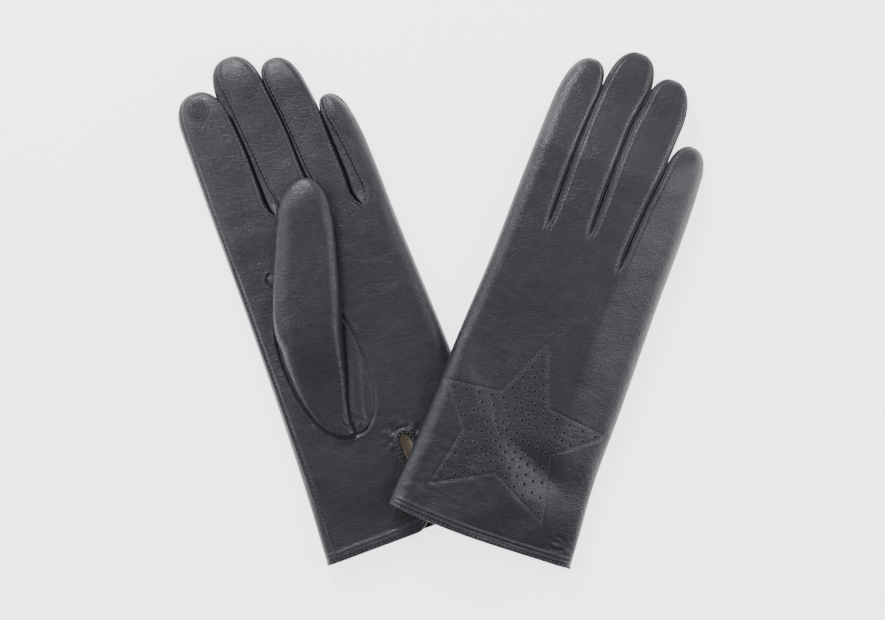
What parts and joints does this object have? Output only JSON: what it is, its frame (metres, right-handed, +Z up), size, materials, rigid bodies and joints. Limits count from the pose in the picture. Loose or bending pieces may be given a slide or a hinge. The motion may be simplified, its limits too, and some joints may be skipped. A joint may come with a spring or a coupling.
{
  "type": "dress gloves",
  "caption": "Pair of lined black leather dress gloves laid flat, one palm up and one palm down, with keyhole wrist vents, set-in thumbs, fourchettes and a perforated star.",
  "frame": {"origin": "under the middle of the pair, on the table", "axes": "+Z up from the table, +Y towards the fingertips, +X towards the right glove"},
  "size_m": [0.2465, 0.244, 0.0235],
  "materials": {
    "leather": "smooth satin",
    "lining": "matt knit",
    "pad": "embossed matt"
  },
  "bodies": {
    "left_hand": {"left_palm_panel": "leather", "left_back_panel": "leather", "left_thumb_foot": "leather", "left_quirk": "leather", "left_cuff_hem": "leather", "left_hand_lining": "lining", "left_vent_binding": "leather"},
    "left_index": {"left_index_front": "leather", "left_index_back": "leather", "left_index_fourchette_middle_side": "leather", "left_index_lining": "lining", "left_touch_pad": "pad"},
    "left_middle": {"left_middle_front": "leather", "left_middle_back": "leather", "left_middle_fourchette_index_side": "leather", "left_middle_fourchette_ring_side": "leather", "left_middle_lining": "lining"},
    "left_ring": {"left_ring_front": "leather", "left_ring_back": "leather", "left_ring_fourchette_middle_side": "leather", "left_ring_fourchette_little_side": "leather", "left_ring_lining": "lining"},
    "left_little": {"left_little_front": "leather", "left_little_back": "leather", "left_little_fourchette_ring_side": "leather", "left_little_lining": "lining"},
    "left_thumb": {"left_thumb_front": "leather", "left_thumb_back": "leather", "left_thumb_lining": "lining"},
    "right_hand": {"right_palm_panel": "leather", "right_back_panel": "leather", "right_thumb_foot": "leather", "right_quirk": "leather", "right_cuff_hem": "leather", "right_hand_lining": "lining", "right_vent_binding": "leather"},
    "right_index": {"right_index_front": "leather", "right_index_back": "leather", "right_index_fourchette_middle_side": "leather", "right_index_lining": "lining", "right_touch_pad": "pad"},
    "right_middle": {"right_middle_front": "leather", "right_middle_back": "leather", "right_middle_fourchette_index_side": "leather", "right_middle_fourchette_ring_side": "leather", "right_middle_lining": "lining"},
    "right_ring": {"right_ring_front": "leather", "right_ring_back": "leather", "right_ring_fourchette_middle_side": "leather", "right_ring_fourchette_little_side": "leather", "right_ring_lining": "lining"},
    "right_little": {"right_little_front": "leather", "right_little_back": "leather", "right_little_fourchette_ring_side": "leather", "right_little_lining": "lining"},
    "right_thumb": {"right_thumb_front": "leather", "right_thumb_back": "leather", "right_thumb_lining": "lining"}
  },
  "joints": [
    {"name": "right_glove_lift", "type": "slide", "parent": "left_hand", "child": "right_hand", "axis": [0, 0, 1], "range_m": [0, 0.12]},
    {"name": "left_index_bend", "type": "hinge", "parent": "left_hand", "child": "left_index", "pos_m": [-0.09493, 0.04201, 0.0131], "axis": [0.9367, 0.3502, 0], "range_deg": [0, 70]},
    {"name": "left_middle_bend", "type": "hinge", "parent": "left_hand", "child": "left_middle", "pos_m": [-0.07614, 0.05971, 0.0131], "axis": [0.9367, 0.3502, 0], "range_deg": [0, 70]},
    {"name": "left_ring_bend", "type": "hinge", "parent": "left_hand", "child": "left_ring", "pos_m": [-0.05684, 0.06692, 0.0131], "axis": [0.9367, 0.3502, 0], "range_deg": [0, 70]},
    {"name": "left_little_bend", "type": "hinge", "parent": "left_hand", "child": "left_little", "pos_m": [-0.0344, 0.05716, 0.0131], "axis": [0.9367, 0.3502, 0], "range_deg": [0, 70]},
    {"name": "left_thumb_swing", "type": "hinge", "parent": "left_hand", "child": "left_thumb", "pos_m": [-0.04563, -0.04846, 0.01], "axis": [0, 0, 1], "range_deg": [0, 45]},
    {"name": "right_index_bend", "type": "hinge", "parent": "right_hand", "child": "right_index", "pos_m": [0.04129, 0.04526, 0.0238], "axis": [0.9367, -0.3502, 0], "range_deg": [0, 60]},
    {"name": "right_middle_bend", "type": "hinge", "parent": "right_hand", "child": "right_middle", "pos_m": [0.05982, 0.0394, 0.0238], "axis": [0.9367, -0.3502, 0], "range_deg": [0, 60]},
    {"name": "right_ring_bend", "type": "hinge", "parent": "right_hand", "child": "right_ring", "pos_m": [0.07764, 0.03167, 0.0238], "axis": [0.9367, -0.3502, 0], "range_deg": [0, 60]},
    {"name": "right_little_bend", "type": "hinge", "parent": "right_hand", "child": "right_little", "pos_m": [0.09437, 0.01474, 0.0238], "axis": [0.9367, -0.3502, 0], "range_deg": [0, 60]},
    {"name": "right_thumb_swing", "type": "hinge", "parent": "right_hand", "child": "right_thumb", "pos_m": [0.0271, -0.04125, 0.01], "axis": [0, 0, 1], "range_deg": [0, 25]}
  ]
}
